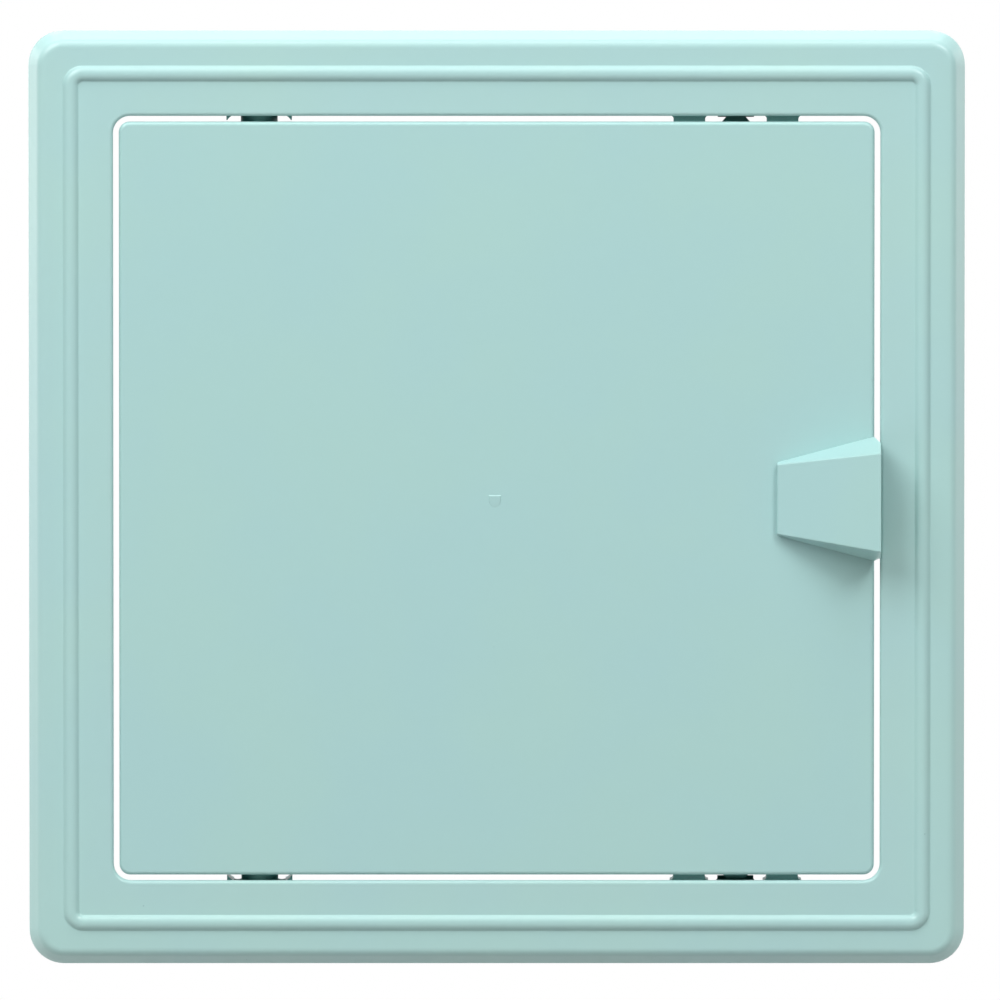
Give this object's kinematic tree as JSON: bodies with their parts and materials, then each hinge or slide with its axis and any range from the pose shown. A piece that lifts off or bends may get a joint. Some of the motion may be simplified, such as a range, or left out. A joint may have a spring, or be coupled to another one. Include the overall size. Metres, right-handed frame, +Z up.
{
  "type": "access panel",
  "caption": "Square plastic access panel: face frame with a wall collar, and a snap-shut door on a vertical pin hinge with a finger grip.",
  "frame": {"origin": "middle of the square opening, on the plane of the wall that the face flange rests on", "axes": "+X to the right and +Z up as seen from the front; the face looks along -Y and the collar runs into the wall along +Y"},
  "size_m": [0.218, 0.0416, 0.218],
  "materials": {
    "frame_plastic": "satin moulded, mint",
    "door_plastic": "satin moulded, mint"
  },
  "bodies": {
    "frame": {"face_flange": "frame_plastic", "wall_collar": "frame_plastic", "upper_hinge_bracket": "frame_plastic", "lower_hinge_bracket": "frame_plastic", "upper_catch": "frame_plastic", "lower_catch": "frame_plastic"},
    "door": {"door_leaf": "door_plastic", "finger_grip": "door_plastic", "upper_hinge_pin": "door_plastic", "lower_hinge_pin": "door_plastic", "upper_snap_tongue": "door_plastic", "lower_snap_tongue": "door_plastic"}
  },
  "joints": [
    {"name": "door_swing", "type": "hinge", "parent": "frame", "child": "door", "pos_m": [-0.0553, 0.002, 0], "axis": [0, 0, -1], "range_deg": [0, 90]}
  ]
}
